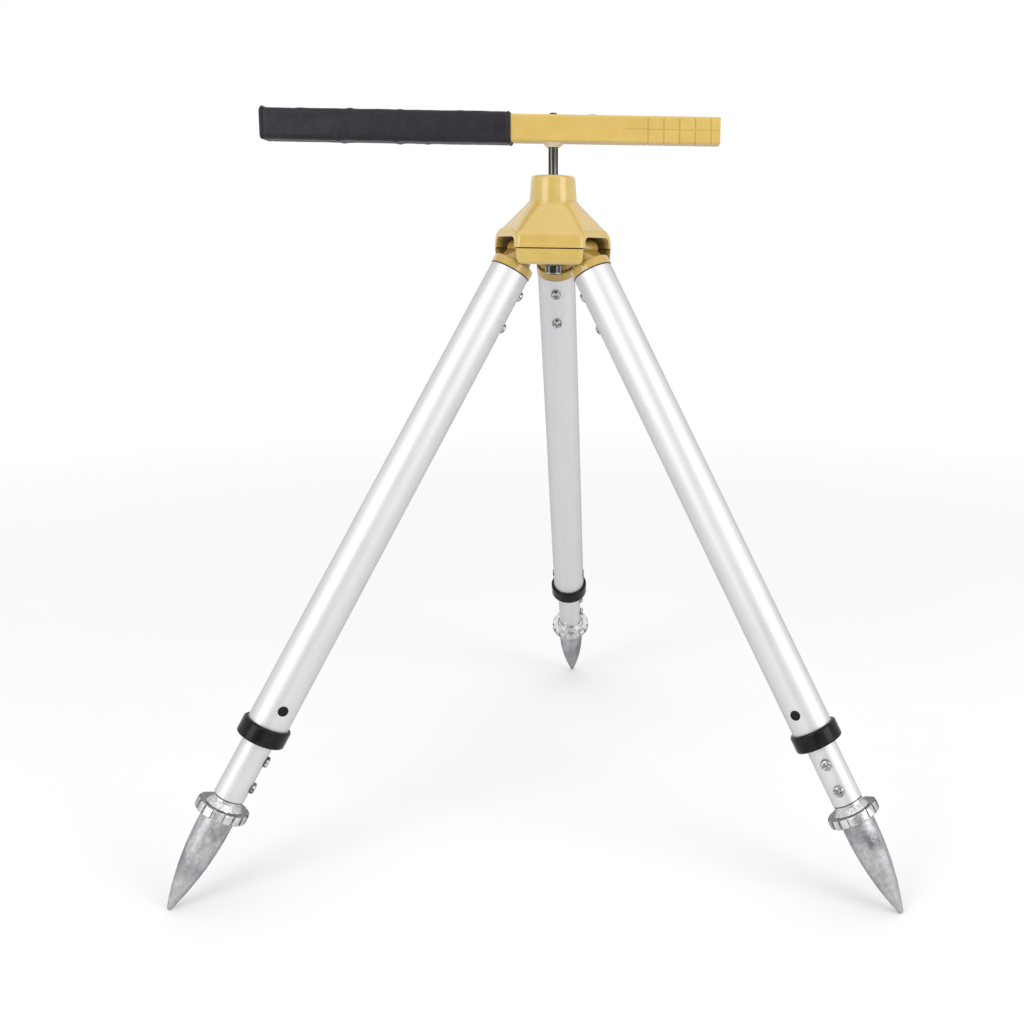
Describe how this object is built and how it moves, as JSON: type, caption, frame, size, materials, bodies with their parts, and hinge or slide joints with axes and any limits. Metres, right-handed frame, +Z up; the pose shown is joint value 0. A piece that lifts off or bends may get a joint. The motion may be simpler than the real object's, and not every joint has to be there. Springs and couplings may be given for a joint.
{
  "type": "surveyor tripod",
  "caption": "Short tripod with telescoping twist-lock aluminium legs, spiked feet, a cast head and a padded bar that swivels on a centre stud.",
  "frame": {"origin": "on the head's vertical axis at ground level, midway between the three spike tips", "axes": "+Z up along the centre stud; -Y is the front, between the left and right legs; the padded end of the bar points along -X"},
  "size_m": [0.6516, 0.5654, 0.7087],
  "materials": {
    "yellow_paint": "glossy yellow powder coat over cast aluminium",
    "anodised_tube": "satin clear anodised",
    "cast_aluminium": "bright cast surface, lightly tumbled",
    "chrome_steel": "bright plated",
    "zinc_steel": "zinc plated",
    "screw_steel": "nickel plated",
    "black_gloss": "glossy moulded",
    "nylon": "natural moulded nylon",
    "sleeve_black": "smooth black vinyl over thin foam"
  },
  "bodies": {
    "head": {"upper_casting": "yellow_paint", "lower_casting": "yellow_paint", "center_stud": "chrome_steel", "stud_clip": "zinc_steel", "head_washer": "zinc_steel", "head_nut": "chrome_steel", "hinge_pin_left": "screw_steel", "hinge_washers_left": "nylon", "hinge_pin_right": "screw_steel", "hinge_washers_right": "nylon", "hinge_pin_rear": "screw_steel", "hinge_washers_rear": "nylon"},
    "bar": {"bar_arm": "yellow_paint", "bar_sleeve": "sleeve_black", "bar_bush": "nylon", "bar_cap_screw": "zinc_steel"},
    "leg_left": {"leg_knuckle_left": "yellow_paint", "knuckle_screws_left": "screw_steel", "outer_tube_left": "anodised_tube", "leg_collar_left": "black_gloss"},
    "lock_left": {"lock_expander_left": "nylon"},
    "foot_left": {"lock_core_left": "cast_aluminium", "inner_tube_left": "anodised_tube", "foot_spike_left": "cast_aluminium", "foot_screws_left": "screw_steel"},
    "leg_right": {"leg_knuckle_right": "yellow_paint", "knuckle_screws_right": "screw_steel", "outer_tube_right": "anodised_tube", "leg_collar_right": "black_gloss"},
    "lock_right": {"lock_expander_right": "nylon"},
    "foot_right": {"lock_core_right": "cast_aluminium", "inner_tube_right": "anodised_tube", "foot_spike_right": "cast_aluminium", "foot_screws_right": "screw_steel"},
    "leg_rear": {"leg_knuckle_rear": "yellow_paint", "knuckle_screws_rear": "screw_steel", "outer_tube_rear": "anodised_tube", "leg_collar_rear": "black_gloss"},
    "lock_rear": {"lock_expander_rear": "nylon"},
    "foot_rear": {"lock_core_rear": "cast_aluminium", "inner_tube_rear": "anodised_tube", "foot_spike_rear": "cast_aluminium", "foot_screws_rear": "screw_steel"}
  },
  "joints": [
    {"name": "bar_swivel", "type": "hinge", "parent": "head", "child": "bar", "pos_m": [0, 0, 0.6936], "axis": [0, 0, 1], "continuous": true},
    {"name": "leg_spread_left", "type": "hinge", "parent": "head", "child": "leg_left", "pos_m": [-0.02815, -0.01625, 0.581], "axis": [0.5, -0.866, 0], "range_deg": [0, 30.5]},
    {"name": "leg_extend_left", "type": "slide", "parent": "leg_left", "child": "lock_left", "axis": [-0.4395, -0.2538, -0.8616], "range_m": [-0.008, 0.298]},
    {"name": "lock_twist_left", "type": "hinge", "parent": "lock_left", "child": "foot_left", "pos_m": [-0.09276, -0.05355, 0.45434], "axis": [-0.4395, -0.2538, -0.8616], "range_deg": [0, 180]},
    {"name": "leg_spread_right", "type": "hinge", "parent": "head", "child": "leg_right", "pos_m": [0.02815, -0.01625, 0.581], "axis": [0.5, 0.866, 0], "range_deg": [0, 30.5]},
    {"name": "leg_extend_right", "type": "slide", "parent": "leg_right", "child": "lock_right", "axis": [0.4395, -0.2538, -0.8616], "range_m": [-0.008, 0.298]},
    {"name": "lock_twist_right", "type": "hinge", "parent": "lock_right", "child": "foot_right", "pos_m": [0.09276, -0.05355, 0.45434], "axis": [0.4395, -0.2538, -0.8616], "range_deg": [0, 180]},
    {"name": "leg_spread_rear", "type": "hinge", "parent": "head", "child": "leg_rear", "pos_m": [0, 0.0325, 0.581], "axis": [-1, 0, 0], "range_deg": [0, 30.5]},
    {"name": "leg_extend_rear", "type": "slide", "parent": "leg_rear", "child": "lock_rear", "axis": [0, 0.5075, -0.8616], "range_m": [-0.008, 0.298]},
    {"name": "lock_twist_rear", "type": "hinge", "parent": "lock_rear", "child": "foot_rear", "pos_m": [0, 0.10711, 0.45434], "axis": [0, 0.5075, -0.8616], "range_deg": [0, 180]}
  ]
}
